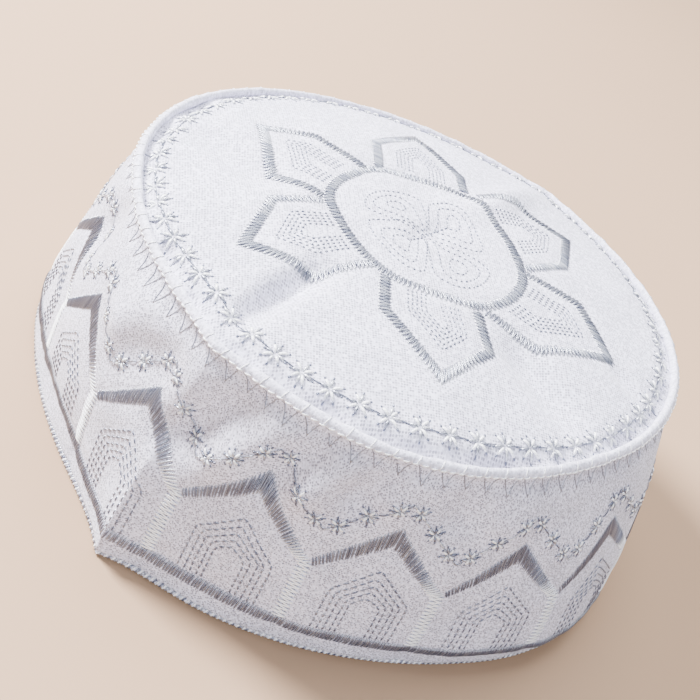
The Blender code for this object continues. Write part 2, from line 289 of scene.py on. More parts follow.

# A roof's tone across half a motif: grey, with a painted highlight that whitens it where its right slope runs
# into the post
ROOF_TONE_AND_HIGHLIGHT = ((0.0, 0.62, 0.88), (0.0, 0.06, 0.95))
OVERCAST_PITCH = 0.00085
OVERCAST_LEAN = 0.0016
OVERCAST_GIRTH = (math.radians(-42), math.radians(188))

Lamp = namedtuple("Lamp", "place size tint")
LAMPS = {
    "key": Lamp((-0.86, -0.08, 0.76), 0.35, (0.97, 0.97, 1.0)),
    "top": Lamp((-0.15, 0.35, 1.10), 0.90, (0.94, 0.96, 1.0)),
    "fill": Lamp((0.55, -0.90, 0.50), 0.80, (0.88, 0.93, 1.0)),
}
SKY_COLOUR = (0.84, 0.88, 1.0, 1)
CAMERA_AIM = 0.0385
CAMERA_SLIDE = (0.0085, 0.0077)

WEAVE_PITCH = 0.00042
# How finely the cloth is modelled
CLOTH_TURNS = 520
BAND_ROWS = 64
CROWN_ROWS = 58
CORD_SIDES = 12


def wrapped(angle):
    """The angle brought to within half a turn of zero."""
    return (angle + math.pi) % (2 * math.pi) - math.pi


def around(rows, column, turn):
    """One column of a table of turns, read at these turns on a smooth closed curve."""
    knots = np.radians([row.turn for row in rows] + [rows[0].turn + 360])
    values = np.array([getattr(row, column) for row in rows + rows[:1]])
    before = np.concatenate([[knots[-2] - 2 * math.pi], knots[:-1]])
    after = np.concatenate([knots[1:], [knots[1] + 2 * math.pi]])
    value_before = np.concatenate([[values[-2]], values[:-1]])
    value_after = np.concatenate([values[1:], [values[1]]])
    slopes = (value_after - value_before) / (after - before)
    angle = wrapped(np.asarray(turn, float))
    i = np.clip(np.searchsorted(knots, angle, side="right") - 1, 0, len(knots) - 2)
    span = knots[i + 1] - knots[i]
    t = (angle - knots[i]) / span
    start = (1 + 2 * t) * (1 - t) ** 2 * values[i] + t * (1 - t) ** 2 * span * slopes[i]
    end = t * t * (3 - 2 * t) * values[i + 1] - t * t * (1 - t) * span * slopes[i + 1]
    return start + end


def ridge(column, turn):
    """What the two fold creases add to that column at these turns."""
    total = 0.0
    for row in CREASES:
        away = np.abs(wrapped(turn - math.radians(row.turn)))
        total = total + getattr(row, column) * np.exp(-away / CREASE_SPREAD)
    return total


def radius(column, turn):
    whole = CROWN_RADIUS if column == "seam" else RIM_RADIUS
    return whole * (around(SECTIONS, column, turn) + ridge(column, turn))


def seam_height(turn):
    return SEAM_HEIGHT - CROWN_RISE * around(SECTIONS, "drop", turn)


def on_plan(turn, reach):
    """Plan coordinates of a turn and a distance from the middle."""
    return reach * np.sin(turn), -reach * np.cos(turn)


def hollow(away, width):
    """A soft hollow's share of its depth at a distance from its middle."""
    return np.exp(-((away / width) ** 2))


def fold_press(x, y, a, b, depth, width):
    """How deep one soft fold presses the cloth, its ends fading out over half its length."""
    along = (b[0] - a[0], b[1] - a[1])
    length = math.hypot(*along)
    share = ((x - a[0]) * along[0] + (y - a[1]) * along[1]) / length**2
    aside = ((x - a[0]) * along[1] - (y - a[1]) * along[0]) / length
    fade = np.exp(-((2 * share - 1) ** 4))
    return depth * FOLD_DEPTH * fade * hollow(aside, width * FOLD_WIDTH)


def band_press(turn, height):
    total = 0.0
    for row in BAND_FOLDS:
        middle = math.radians((row.turn_a + row.turn_b) / 2)
        x = RIM_RADIUS * wrapped(turn - middle)
        a = (RIM_RADIUS * (math.radians(row.turn_a) - middle), row.height_a * SEAM_HEIGHT)
        b = (RIM_RADIUS * (math.radians(row.turn_b) - middle), row.height_b * SEAM_HEIGHT)
        total = total + fold_press(x, height * SEAM_HEIGHT, a, b, row.depth, row.width)
    return total


def band_form(turn, height):
    """Radius and height of the band's outer face. Height runs from 0 at the rim to 1 at the seam."""
    rim, hem, bulge, seam = (radius(name, turn) for name in ("rim", "hem", "bulge", "seam"))
    tuck = np.clip((hem - rim) / HEM_WIDTH, -0.9, 0.9)
    hem_height = HEM_WIDTH * np.sqrt(1 - tuck**2)
    hem_share = HEM_WIDTH / SEAM_HEIGHT
    low = height / hem_share
    t = np.clip((height - hem_share) / (1 - hem_share), 0, 1)
    m = BAND_BULGE_AT
    reach = hem * (1 - t) * (m - t) / m
    reach += bulge * t * (1 - t) / (m * (1 - m))
    reach += seam * t * (t - m) / (1 - m)
    reach -= band_press(turn, height) * np.sin(math.pi * t) ** 0.5
    up = hem_height + (seam_height(turn) - hem_height) * t
    below = height < hem_share
    return np.where(below, rim + (hem - rim) * low, reach), np.where(below, hem_height * low, up)


def crown_press(x, y):
    total = 0.0
    for row in CROWN_FOLDS:
        a = on_plan(math.radians(row.turn_a), row.reach_a * CROWN_RADIUS)
        b = on_plan(math.radians(row.turn_b), row.reach_b * CROWN_RADIUS)
        total = total + fold_press(x, y, a, b, row.depth, row.width)
    return total


def crown_form(turn, share):
    """Height of the crown's outer face at a share of the way from its middle to the seam."""
    rise = CROWN_RISE * (1 - share**DOME_POWER)
    edge = (seam_height(turn) - SEAM_HEIGHT) * share**4
    pressed = crown_press(*on_plan(turn, share * CROWN_RADIUS))
    return SEAM_HEIGHT + rise + edge - pressed * (1 - share**6)


def rumple(x, y, z, size):
    """Smooth noise between about -1 and 1, its lumps about that size apart."""
    places = np.stack(np.broadcast_arrays(x, y, z), -1).reshape(-1, 3) / size
    values = np.array([noise.noise(place) for place in places.tolist()])
    return values.reshape(np.broadcast(x, y, z).shape)


def distance_to_line(x, y, points):
    """How far each place lies from a line of straight runs."""
    nearest = np.full(np.broadcast(x, y).shape, np.inf)
    for (ax, ay), (bx, by) in zip(points, points[1:]):
        length = (bx - ax) ** 2 + (by - ay) ** 2
        share = np.clip(((x - ax) * (bx - ax) + (y - ay) * (by - ay)) / length, 0, 1)
        away = np.hypot(x - ax - share * (bx - ax), y - ay - share * (by - ay))
        nearest = np.minimum(nearest, away)
    return nearest


def half_house():
    """Half a motif's length along the rim."""
    return RIM_LENGTH / bpy.context.scene.kufi_pattern.houses / 2


def house_x(turn):
    """Where a turn lies in its motif, along the rim from the middle of the house."""
    pitch = 2 * half_house()
    along = RIM_RADIUS * (turn - FIRST_HOUSE_TURN)
    return (along + pitch / 2) % pitch - pitch / 2


def roof_edge(edge):
    """One edge of the roof's satin on the motif's own chart."""
    return np.array(edge) * [half_house(), 1]


def border_height(x):
    """Height of the border's middle at a distance along the rim."""
    turns, heights = zip(*BORDER_HEIGHTS)
    return np.interp(np.degrees(np.asarray(x) / RIM_RADIUS), turns, heights, period=360)


def petal_outline(petal):
    """The middle of a petal's satin, from root over tip to root."""
    return np.array([on_plan(math.radians(spot.turn), spot.reach * CROWN_RADIUS) for spot in petal])


def band_relief(turn, height):
    """Small lumps, puckers and the pull of the satin on the band's cloth, outwards in metres."""
    cloth = bpy.context.scene.kufi_cloth
    x, y = on_plan(turn, RIM_RADIUS)
    up = height * SEAM_HEIGHT
    relief = cloth.rumple * (rumple(x, y, up, 0.015) + 0.45 * rumple(x, y, up + 0.2, 0.0062))
    below_seam = SEAM_HEIGHT - up
    gathers = rumple(x, y, up * 0.3 + 0.5, 0.0042) + 0.6 * rumple(x, y, up * 0.3 + 0.9, 0.0090)
    relief += cloth.pucker * gathers * np.exp(-below_seam / 0.0060)
    relief -= 1.5 * cloth.pucker * hollow(below_seam - SEAM_DIP_BELOW, SEAM_DIP_WIDTH)
    hem_gathers = rumple(x, y, up * 0.4 + 1.3, 0.0060) - 0.6
    relief += 0.7 * cloth.pucker * hem_gathers * hollow(up - HEM_WIDTH, HEM_DIP_WIDTH)
    middle = (roof_edge(ROOF_INNER) + roof_edge(ROOF_OUTER)) / 2
    pull = hollow(distance_to_line(house_x(turn), up, middle), ROOF_PULL_WIDTH)
    from_post = np.abs(house_x(turn)) - half_house()
    pull += hollow(from_post, PULL_WIDTH) / (1 + np.exp((up - POST_TOP) / 0.0006))
    pressed = band_press(turn, height) * np.sin(math.pi * height) ** 0.5
    return relief - cloth.pull * pull - cloth.sharpen * pressed


def crown_relief(x, y):
    """The same for the crown's cloth, upwards in metres."""
    cloth = bpy.context.scene.kufi_cloth
    turn = np.arctan2(x, -y)
    share = np.hypot(x, y) / radius("seam", turn)
    relief = cloth.rumple * (rumple(x, y, 0.7, 0.018) + 0.35 * rumple(x, y, 0.9, 0.0070))
    gathers = 0.9 + rumple(CROWN_RADIUS * np.sin(turn), CROWN_RADIUS * np.cos(turn), share * 0.02, 0.0075)
    depth = cloth.pucker * gathers * (4.0 + 1.8 * np.cos(turn))
    depth *= 1 - 0.60 * np.clip((share - 0.972) / 0.028, 0, 1)
    relief -= depth * hollow(np.maximum(TROUGH_SHARE - share, 0), TROUGH_WIDTH)
    relief -= cloth.sharpen * crown_press(x, y) * (1 - np.clip(share, 0, 1) ** 6)
    for petal in PETALS:
        relief -= cloth.pull * hollow(distance_to_line(x, y, petal_outline(petal)), PULL_WIDTH)
    ring = around(MEDALLION, "reach", turn) * CROWN_RADIUS
    return relief - cloth.pull * hollow(np.hypot(x, y) - ring, PULL_WIDTH)


def band_cloth_at(turn, height):
    reach, up = band_form(turn, height)
    reach = reach + band_relief(turn, height)
    x, y = on_plan(turn, reach)
    return np.stack([x, y, up], -1)


def band_chart(x, up):
    """The band's outer face, charted in metres along the rim and up the cloth."""
    return band_cloth_at(x / RIM_RADIUS, up / SEAM_HEIGHT)


def crown_chart(x, y):
    """The crown's outer face over these plan coordinates."""
    turn = np.arctan2(x, -y)
    share = np.minimum(np.hypot(x, y) / radius("seam", turn), 1.0)
    up = crown_form(turn, share) + crown_relief(x, y)
    return np.stack([x + 0 * up, y + 0 * up, up], -1)


def piping_places(turn, girth):
    """The rolled seam's face, with its sharp upper ridge. Girth is the angle around it, 0 outwards."""
    x, y = on_plan(turn, CROWN_RADIUS)
    gathers = 1 + 0.22 * rumple(x, y, 0.3, 0.0036) + 0.14 * rumple(x, y, 0.6, 0.011)
    fullness = gathers * (1.10 + 0.32 * hollow(wrapped(girth - PIPING_RIDGE), 0.40))
    half = PIPING_THICKNESS / 2 * fullness
    reach = radius("seam", turn) + half * np.cos(girth)
    return np.stack([*on_plan(turn, reach), seam_height(turn) + half * np.sin(girth)], -1)


def row_up(angle):
    """Where an angle around the piping lies on the seam's chart."""
    return SEAM_HEIGHT + PIPING_THICKNESS / 2 * (angle - PIPING_FOOT - 1)


def seam_chart(x, up):
    """The band's face carried on over the piping: past the cloth's edge, up follows the cord's girth."""
    edge = row_up(PIPING_FOOT)
    girth = PIPING_FOOT + np.maximum(up - edge, 0) / (PIPING_THICKNESS / 2)
    over = piping_places(x / RIM_RADIUS, girth)
    return np.where((up > edge)[..., None], over, band_chart(x, np.minimum(up, edge)))


def binding_chart(x, girth):
    """The bound hem's face: girth is the angle around the cord, 0 facing outwards."""
    turn = x / RIM_RADIUS
    reach = radius("rim", turn) - BINDING_WIDTH / 2 + (BINDING_WIDTH / 2 + BINDING_SWELL) * np.cos(girth)
    up = BINDING_HEIGHT / 2 * (1 + BINDING_ROUNDNESS * np.sin(girth))
    return np.stack([*on_plan(turn, reach), up], -1)


def normals_of(chart, u, v, step_u, step_v):
    """Unit normals of a charted face."""
    here = chart(u, v)
    normal = np.cross(chart(u + step_u, v) - here, chart(u, v + step_v) - here)
    return normal / np.linalg.norm(normal, axis=-1, keepdims=True)


# Threads. A run of stitches is two arrays of chart places, where each stitch goes in and comes out.

def thread_form(sides, spans):
    """One thread from 0 to 1 along Z, with half-width 1: its corners and its faces."""
    bm = bmesh.new()
    lifted = Matrix.Translation((0, 0, 0.5))
    bmesh.ops.create_cone(bm, cap_ends=True, segments=sides, radius1=1, radius2=1, depth=1, matrix=lifted)
    for cut in range(1, spans):
        everything = bm.verts[:] + bm.edges[:] + bm.faces[:]
        bmesh.ops.bisect_plane(bm, geom=everything, plane_co=(0, 0, cut / spans), plane_no=(0, 0, 1))
    bm.verts.index_update()
    corners = np.array([vert.co for vert in bm.verts])
    faces = [[vert.index for vert in face.verts] for face in bm.faces]
    bm.free()
    return corners, faces


def girth_shares(corners, faces):
    """How far round the thread each face corner lies, without a jump inside a face."""
    shares = []
    for face in faces:
        turns = np.arctan2(corners[face, 1], corners[face, 0])
        turns = turns[0] + wrapped(turns - turns[0])
        shares.extend(turns / (2 * math.pi))
    return np.array(shares)


class Sewing:
    """Stitches collected for one piece, then made into one mesh of real threads."""

    def __init__(self, chart, form, steps=(0.0003, 0.0003)):
        self.chart = chart
        self.corners, self.faces = form
        self.steps = steps
        self.places = []
        self.lengths = []
        self.tones = []

    def add(self, starts, ends, lay, tone):
        """Lays threads of one kind between chart places. Tone is one value or one a thread."""
        count = len(starts)
        random = np.random.default_rng(count + len(self.places))
        starts = np.asarray(starts, float) + random.uniform(-lay.stray, lay.stray, (count, 2))
        ends = np.asarray(ends, float) + random.uniform(-lay.stray, lay.stray, (count, 2))
        tone = np.broadcast_to(np.asarray(tone, float), count)
        levels, level_of = np.unique(np.round(self.corners[:, 2], 6), return_inverse=True)
        along = starts[:, None] + (ends - starts)[:, None] * levels[None, :, None]
        u, v = along[..., 0], along[..., 1]
        normal = normals_of(self.chart, u, v, *self.steps)
        bow = 1 - np.abs(2 * levels - 1) ** 2.3
        lift = (lay.arch + lay.sink) * bow - lay.sink
        line = self.chart(u, v) + normal * lift[:, None]
        ahead = np.gradient(line, axis=1)
        ahead /= np.linalg.norm(ahead, axis=-1, keepdims=True)
        side = np.cross(normal, ahead)
        side /= np.linalg.norm(side, axis=-1, keepdims=True)
        top = np.cross(ahead, side)
        thick = lay.taper + (1 - lay.taper) * np.sqrt(bow)
        half = (lay.width * bpy.context.scene.kufi_thread.width / 2 * thick)[level_of, None]
        across = self.corners[:, :1] * side[:, level_of]
        above = self.corners[:, 1:2] * top[:, level_of] * lay.flatness
        self.places.append((line[:, level_of] + half * (across + above)).reshape(-1, 3))
        self.lengths.append(np.linalg.norm(line[:, -1] - line[:, 0], axis=-1))
        # Painted highlight: each thread's ends are whitened where light would catch them as they turn into
        # the cloth
        tones = tone[:, None] + lay.tips * np.abs(2 * levels - 1) ** 6
        self.tones.append(tones[:, level_of].ravel())

    def finish(self, name, slot):
        """The named piece, with its thread's length and girth as UVs and each thread's tone."""
        places = np.concatenate(self.places)
        lengths = np.concatenate(self.lengths)
        size = len(self.corners)
        firsts = range(0, len(places), size)
        faces = [[corner + first for corner in face] for first in firsts for face in self.faces]
        mesh = bpy.data.meshes.new(name)
        mesh.from_pydata(places.tolist(), [], faces)
        loop_corners = np.concatenate(self.faces)
        uv = np.empty((len(lengths), len(loop_corners), 2))
        uv[..., 0] = lengths[:, None] * self.corners[loop_corners, 2][None, :]
        uv[..., 1] = girth_shares(self.corners, self.faces)[None, :]
        mesh.uv_layers.new(name="thread").data.foreach_set("uv", uv.ravel())
        tone = mesh.attributes.new("tone", "FLOAT", "POINT")
        tone.data.foreach_set("value", np.concatenate(self.tones))
        mesh.shade_smooth()
        piece(name, mesh, "embroidery_thread")


def piece(name, mesh, material):
    """A finished object that rides on the cap's only body, in place of an earlier copy of it."""
    old = bpy.data.objects.get(name)
    if old is not None:
        bpy.data.objects.remove(old, do_unlink=True)
    mesh.materials.append(bpy.data.materials[material])
    obj = bpy.data.objects.new(name, mesh)
    bpy.context.scene.collection.objects.link(obj)
    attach(obj, "root")
    return obj


def jitter(count, seed, size):
    """Small steady irregularities, one for each of a run's stitches."""
    return np.random.default_rng(seed).uniform(-size, size, count)


def travel(points, distances):
    """Places at these distances along a line of straight runs."""
    points = np.asarray(points, float)
    steps = np.hypot(*np.diff(points, axis=0).T)
    marks = np.concatenate([[0], np.cumsum(steps)])
    return np.stack([np.interp(distances, marks, points[:, axis]) for axis in (0, 1)], -1)


def in_a_row(along, up):
    """Chart places all at one height, or at one angle around a cord."""
    return np.stack([along, np.full(len(along), up)], -1)


def dashes(points, stitch, gap):
    """Starts and ends of a running stitch along a line, a whole number of stitches long."""
    total = float(np.hypot(*np.diff(np.asarray(points, float), axis=0).T).sum())
    count = max(1, round((total + gap) / (stitch + gap)))
    pitch = (total + gap) / count
    starts = np.arange(count) * pitch
    return travel(points, starts), travel(points, starts + pitch - gap)


def shifted(points, distance):
    """An open line moved sideways by a distance, with its corners kept sharp."""
    points = np.asarray(points, float)
    runs = np.diff(points, axis=0)
    runs /= np.hypot(*runs.T)[:, None]
    sides = np.stack([runs[:, 1], -runs[:, 0]], -1)
    before = np.concatenate([sides[:1], sides])
    after = np.concatenate([sides, sides[-1:]])
    corner = before + after
    corner /= (1 + (before * after).sum(1))[:, None]
    return points + corner * distance


def matched(line, other, pitch):
    """Evenly spaced places on two lines with as many corners, paired corner to corner."""
    line, other = np.asarray(line, float), np.asarray(other, float)
    steps = np.hypot(*np.diff((line + other) / 2, axis=0).T)
    marks = np.concatenate([[0], np.cumsum(steps)])
    count = max(2, round(marks[-1] / pitch))
    at = np.linspace(0, marks[-1], count + 1)
    return tuple(
        np.stack([np.interp(at, marks, side[:, axis]) for axis in (0, 1)], -1) for side in (line, other)
    )


def rounded(points):
    """A line with its corners cut twice, so that it runs round them softly."""
    for _ in range(2):
        before, after = points[:-1], points[1:]
        cut = np.stack([0.75 * before + 0.25 * after, 0.25 * before + 0.75 * after], 1).reshape(-1, 2)
        points = np.concatenate([points[:1], cut, points[-1:]])
    return points


def zigzag(near, far):
    """Starts and ends of one thread that crosses back and forth between paired places."""
    starts = np.concatenate([near[:-1], far[:-1]])
    ends = np.concatenate([far[:-1], near[1:]])
    return starts, ends


def house_turns():
    count = bpy.context.scene.kufi_pattern.houses
    return [FIRST_HOUSE_TURN + 2 * math.pi * k / count for k in range(count)]


# Materials


class Shading:
    """A material's nodes, added one at a time."""

    def __init__(self, name, roughness):
        self.material = bpy.data.materials.new(name)
        self.material.use_nodes = True
        self.tree = self.material.node_tree
        self.shader = self.tree.nodes["Principled BSDF"]
        self.shader.inputs["Roughness"].default_value = roughness

    def node(self, kind, inputs=None, **settings):
        made = self.tree.nodes.new("ShaderNode" + kind)
        for key, value in settings.items():
            setattr(made, key, value)
        for key, value in (inputs or {}).items():
            self.feed(made.inputs[key], value)
        return made

    def feed(self, socket, value):
        if isinstance(value, bpy.types.NodeSocket):
            self.tree.links.new(value, socket)
        else:
            socket.default_value = value

    def sum(self, first, second):
        return self.node("Math", {0: first, 1: second}, operation="ADD").outputs[0]

    def product(self, first, second):
        return self.node("Math", {0: first, 1: second}, operation="MULTIPLY").outputs[0]

    def ramp(self, value, low, high, to_low=0.0, to_high=1.0):
        names = ("Value", "From Min", "From Max", "To Min", "To Max")
        inputs = dict(zip(names, (value, low, high, to_low, to_high)))
        return self.node("MapRange", inputs, interpolation_type="SMOOTHSTEP").outputs[0]

    def blend(self, share, first, second):
        mixed = self.node("Mix", data_type="RGBA")
        self.feed(mixed.inputs["Factor"], share)
        self.feed(mixed.inputs["A"], first)
        self.feed(mixed.inputs["B"], second)
        return mixed.outputs["Result"]


def colour(value, share=1.0):
    return (*(channel * share for channel in value), 1)


def cotton(name, on_map, spot_pitch, spot_scatter, spot_depth):
    """White cotton with its weave: tiny needle-fine spots on a plain ground, on the cloth's chart."""
    cloth = bpy.context.scene.kufi_cloth
    look = Shading(name, 0.82)
    coordinates = look.node("TexCoord").outputs["UV" if on_map else "Object"]
    turned = look.node(
        "Mapping",
        {"Vector": coordinates, "Rotation": (0, 0, math.radians(45)), "Scale": (1 / spot_pitch,) * 3},
    ).outputs[0]
    cells = look.node(
        "TexVoronoi", {"Vector": turned, "Scale": 1, "Randomness": spot_scatter}, voronoi_dimensions="2D"
    )
    spots = look.ramp(cells.outputs["Distance"], 0.24, 0.52, 1.0, 0.0)
    kept = look.node("SeparateColor", {0: cells.outputs["Color"]}).outputs[0]
    spots = look.product(spots, look.ramp(kept, 0.0, 0.8))
    threads = []
    for direction in ("X", "Y"):
        wave = look.node(
            "TexWave",
            {"Vector": coordinates, "Scale": math.pi / 10 / WEAVE_PITCH, "Distortion": 1.2, "Detail": 1.0},
            bands_direction=direction,
        )
        threads.append(wave.outputs["Fac"])
    weave = look.product(*threads)
    nap = look.node("TexNoise", {"Vector": coordinates, "Scale": 2600, "Detail": 2}).outputs["Fac"]
    mottle = look.node("TexNoise", {"Vector": coordinates, "Scale": 55, "Detail": 3}).outputs["Fac"]
    grain = look.node("TexNoise", {"Vector": coordinates, "Scale": 1100, "Detail": 1}).outputs["Fac"]
    shade = look.sum(look.ramp(mottle, 0.3, 0.7, 0.0, 0.35), look.ramp(grain, 0.36, 0.64, 0.0, 0.65))
    ground = look.blend(shade, colour(cloth.colour, 0.72), colour(cloth.colour, 1.10))
    speckled = look.blend(look.product(spots, spot_depth), ground, colour(cloth.spot_colour))
    look.feed(look.shader.inputs["Base Color"], speckled)
    height = look.sum(look.product(spots, -1.0), look.sum(look.product(weave, 0.35), look.product(nap, 0.30)))
    bump = look.node("Bump", {"Height": height, "Strength": 0.8, "Distance": cloth.weave_depth})
    look.feed(look.shader.inputs["Normal"], bump.outputs[0])
    look.shader.inputs["Sheen Weight"].default_value = 0.25
    look.shader.inputs["Sheen Roughness"].default_value = 0.45
    look.shader.inputs["Specular IOR Level"].default_value = 0.25
    return look.material


def thread_finish():
    """Glossy embroidery thread, grey to white by its tone, the white partly painted highlight, with the twist
    of its plies and painted shade in their grooves.
    """
    thread = bpy.context.scene.kufi_thread
    look = Shading("embroidery_thread", 0.34)
    tone = look.node("Attribute", attribute_name="tone").outputs["Fac"]
    twist_map = look.node(
        "Mapping", {"Vector": look.node("TexCoord").outputs["UV"], "Scale": (1 / thread.twist, 1, 1)}
    ).outputs[0]
    split = look.node("SeparateXYZ", {0: twist_map})
    phase = look.product(look.sum(split.outputs[0], split.outputs[1]), 4 * math.pi)
    plies = look.ramp(look.node("Math", {0: phase}, operation="SINE").outputs[0], -1.0, 0.6)
    # Grey to white by tone: white is the thread's own colour in places and a painted highlight elsewhere
    dye_and_highlight = look.blend(tone, colour(thread.grey), colour(thread.white))
    # Painted shade: the grooves between the twisted plies are darkened towards a dim grey
    shaded = look.blend(look.ramp(plies, 0.0, 1.0, 0.22, 0.0), dye_and_highlight, colour(thread.grey, 0.45))
    look.feed(look.shader.inputs["Base Color"], shaded)
    bump = look.node("Bump", {"Height": plies, "Strength": 0.5, "Distance": 0.00004})
    look.feed(look.shader.inputs["Normal"], bump.outputs[0])
    look.feed(look.shader.inputs["Metallic"], look.ramp(tone, 0.1, 0.9, 0.70, 0.05))
    look.shader.inputs["Specular IOR Level"].default_value = 0.8
    return look.material


def floor_finish():
    stage = bpy.context.scene.kufi_stage
    look = Shading("stage_floor", 0.9)
    mottle = look.node(
        "TexNoise", {"Vector": look.node("TexCoord").outputs["Object"], "Scale": 3, "Detail": 2}
    ).outputs["Fac"]
    tinted = look.blend(look.ramp(mottle, 0.3, 0.7), colour(stage.floor, 0.97), colour(stage.floor))
    look.feed(look.shader.inputs["Base Color"], tinted)
    look.shader.inputs["Specular IOR Level"].default_value = 0.1
    return look.material


def read_points(mesh):
    points = np.empty(len(mesh.vertices) * 3)
    mesh.vertices.foreach_get("co", points)
    return points.reshape(-1, 3)


def bunched(turn):
    """Moves evenly spaced turns closer together at the two creases."""
    return turn - CREASE_BUNCHING / 2 * np.sin(2 * turn)


def spun_mesh(name, profile, closed):
    """A profile of (distance, height) pairs spun once around Z."""
    bm = bmesh.new()
    verts = [bm.verts.new((0, -reach, height)) for reach, height in profile]
    for first, second in zip(verts, verts[1:] + verts[:1] * closed):
        bm.edges.new((first, second))
    bmesh.ops.spin(
        bm, geom=bm.verts[:] + bm.edges[:], cent=(0, 0, 0), axis=(0, 0, 1), angle=2 * math.pi,
        steps=CLOTH_TURNS, use_merge=True,
    )
    bmesh.ops.remove_doubles(bm, verts=bm.verts, dist=1e-6)
    bmesh.ops.recalc_face_normals(bm, faces=bm.faces)
    if sum(face.normal.dot(face.calc_center_median()) for face in bm.faces) < 0:
        bmesh.ops.reverse_faces(bm, faces=bm.faces)
    mesh = bpy.data.meshes.new(name)
    bm.to_mesh(mesh)
    bm.free()
    mesh.shade_smooth()
    return mesh


def cord(name):
    """A ring with a round section, and each corner's turn around Z and angle around the section."""
    angles = [2 * math.pi * (side + 0.5) / CORD_SIDES for side in range(CORD_SIDES)]
    mesh = spun_mesh(name, [(1 + math.cos(angle) / 9, math.sin(angle) / 9) for angle in angles], closed=True)
    flat = read_points(mesh)
    turn = bunched(np.arctan2(flat[:, 0], -flat[:, 1]))
    return mesh, turn, np.arctan2(flat[:, 2], np.hypot(flat[:, 0], flat[:, 1]) - 1)


def cloth_wall(obj):
    wall = obj.modifiers.new("Cloth", "SOLIDIFY")
    wall.thickness = CLOTH_WALL
    wall.offset = -1


class KufiCloth(bpy.types.PropertyGroup):
    """The cap's cotton."""

    colour: FloatVectorProperty(
        name="Colour", description="Colour of the cotton", subtype="COLOR", size=3, min=0, max=1,
        default=(0.72, 0.705, 0.84),
    )
    spot_colour: FloatVectorProperty(
        name="Spot colour", description="Colour inside the weave's tiny spots", subtype="COLOR", size=3,
        min=0, max=1, default=(0.22, 0.21, 0.26),
    )
    crown_spots: FloatProperty(
        name="Crown spots", description="Distance between the crown weave's spots", unit="LENGTH",
        default=0.00070,
    )
    band_spots: FloatProperty(
        name="Band specks", description="Distance between the band weave's specks", unit="LENGTH",
        default=0.00055,
    )
    weave_depth: FloatProperty(
        name="Weave depth", description="Depth of the weave's relief", unit="LENGTH", default=0.00006
    )
    rumple: FloatProperty(
        name="Rumple", description="Height of the cloth's soft lumps", unit="LENGTH", default=0.00040
    )
    pucker: FloatProperty(
        name="Pucker", description="Height of the gathers along the seams", unit="LENGTH", default=0.00045
    )
    pull: FloatProperty(
        name="Pull", description="How far satin stitches pull the cloth in", unit="LENGTH", default=0.00035
    )
    sharpen: FloatProperty(
        name="Sharpen", description="How much deeper than the plain form the soft folds are pressed",
        default=1.4,
    )


class KufiThread(bpy.types.PropertyGroup):
    """The embroidery thread."""

    grey: FloatVectorProperty(
        name="Grey", description="Colour of the grey thread", subtype="COLOR", size=3, min=0, max=1,
        default=(0.14, 0.155, 0.215),
    )
    # Also the colour of the painted highlights on thread ends, star legs, roofs and the zigzag over the
    # piping
    white: FloatVectorProperty(
        name="White", description="Colour of the white thread", subtype="COLOR", size=3, min=0, max=1,
        default=(0.97, 0.97, 0.99),
    )
    width: FloatProperty(
        name="Thread width", description="Width of a satin thread", unit="LENGTH", default=0.00054
    )
    pitch: FloatProperty(
        name="Satin pitch", description="Distance between neighbouring satin holes", unit="LENGTH",
        default=0.00145,
    )
    stitch: FloatProperty(
        name="Running stitch", description="Length of a running stitch", unit="LENGTH", default=0.00125
    )
    gap: FloatProperty(
        name="Running gap", description="Gap between running stitches", unit="LENGTH", default=0.00055
    )
    twist: FloatProperty(
        name="Twist", description="Length of one turn of the thread's plies", unit="LENGTH", default=0.0012
    )


class KufiPattern(bpy.types.PropertyGroup):
    """How often the embroidery repeats."""

    houses: IntProperty(name="Houses", description="Motifs around the band", default=16, min=4, max=40)
    stars: IntProperty(name="Stars", description="Stars around the crown", default=62, min=8, max=200)
    crown_star: FloatProperty(
        name="Crown star", description="Width of a star on the crown", unit="LENGTH", default=0.0060
    )
    band_star: FloatProperty(
        name="Band star", description="Width of a star on the band", unit="LENGTH", default=0.0044
    )


class KufiStage(bpy.types.PropertyGroup):
    """The floor, the lights and the camera."""

    floor: FloatVectorProperty(
        name="Floor", description="Colour of the floor", subtype="COLOR", size=3, min=0, max=1,
        default=(0.37, 0.242, 0.152),
    )
    key: FloatProperty(name="Key light", description="Strength of the key light", unit="POWER", default=94.0)
    top: FloatProperty(name="Top light", description="Strength of the top light", unit="POWER", default=28.0)
    fill: FloatProperty(
        name="Fill light", description="Strength of the fill light", unit="POWER", default=14.0
    )
    sky: FloatProperty(name="Sky", description="Brightness of the surroundings", default=0.55, min=0)
    azimuth: FloatProperty(
        name="Azimuth", description="The camera's turn around the cap", unit="ROTATION", default=0.3908
    )
    elevation: FloatProperty(
        name="Elevation", description="The camera's height angle", unit="ROTATION", default=0.6259
    )
    roll: FloatProperty(name="Roll", description="The camera's roll", unit="ROTATION", default=0.4723)
    distance: FloatProperty(
        name="Distance", description="The camera's distance", unit="LENGTH", default=0.3506
    )
    lens: FloatProperty(name="Lens", description="Focal length in millimetres", default=62.66)


class KUFI_OT_materials(bpy.types.Operator):
    """Makes the cotton and the thread"""

    bl_idname = "kufi.materials"
    bl_label = "Materials"

    def execute(self, context):
        cloth = context.scene.kufi_cloth
        cotton("crown_cotton", False, cloth.crown_spots, 0.20, 0.90)
        cotton("band_cotton", True, cloth.band_spots, 0.9, 1.00)
        cotton("rolled_cotton", False, cloth.crown_spots, 0.9, 0.4)
        thread_finish()
        return {"FINISHED"}


